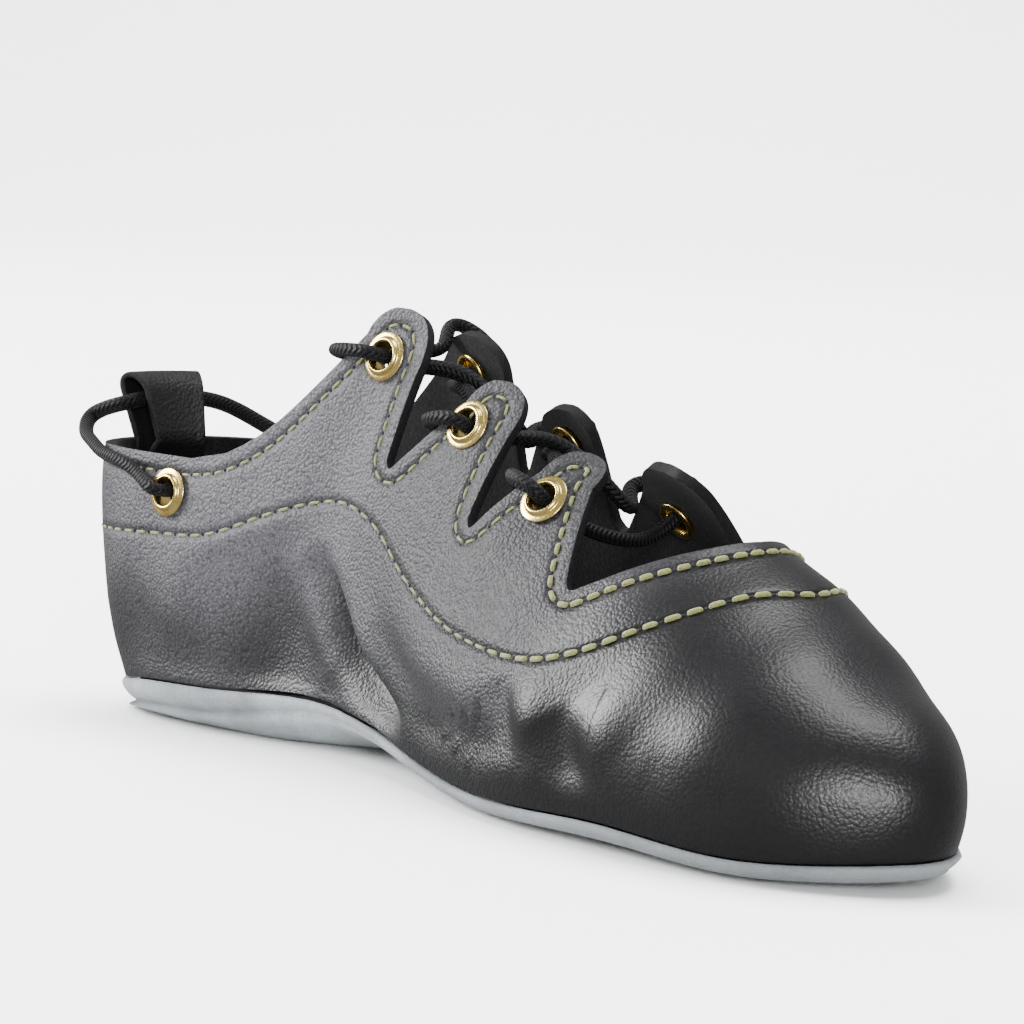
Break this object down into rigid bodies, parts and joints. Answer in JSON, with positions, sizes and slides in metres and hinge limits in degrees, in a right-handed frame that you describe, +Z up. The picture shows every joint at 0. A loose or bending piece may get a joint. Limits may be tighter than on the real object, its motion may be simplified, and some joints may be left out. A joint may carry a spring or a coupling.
{
  "type": "ghillie dance shoe",
  "caption": "Soft black leather lace-up dance shoe with rounded eyelet tabs, open throat, suede sole and a heel pull loop.",
  "frame": {"origin": "under the middle of the shoe, on the plane it stands on, without the loose heel lace", "axes": "+X towards the toe, -Y towards the medial side, +Y towards the lateral side, +Z up"},
  "size_m": [0.2348, 0.0692, 0.0866],
  "materials": {
    "black_leather": "pebbled charcoal black leather, soft sheen",
    "suede": "pale grey suede, napped",
    "lining": "black suede-like lining, matte",
    "brass": "pale polished brass",
    "lace_black": "black woven cord, matte"
  },
  "bodies": {
    "root": {"upper": "black_leather", "outsole": "suede", "insole": "lining", "heel_pull_loop": "black_leather", "eyelet_medial_top": "brass", "eyelet_medial_middle": "brass", "eyelet_medial_front": "brass", "eyelet_medial_heel": "brass", "eyelet_lateral_top": "brass", "eyelet_lateral_middle": "brass", "eyelet_lateral_front": "brass", "eyelet_lateral_heel": "brass", "lace_bar_front": "lace_black", "lace_cross_front": "lace_black", "lace_cross_rear": "lace_black", "lace_bar_top": "lace_black", "lace_heel": "lace_black"}
  },
  "joints": []
}
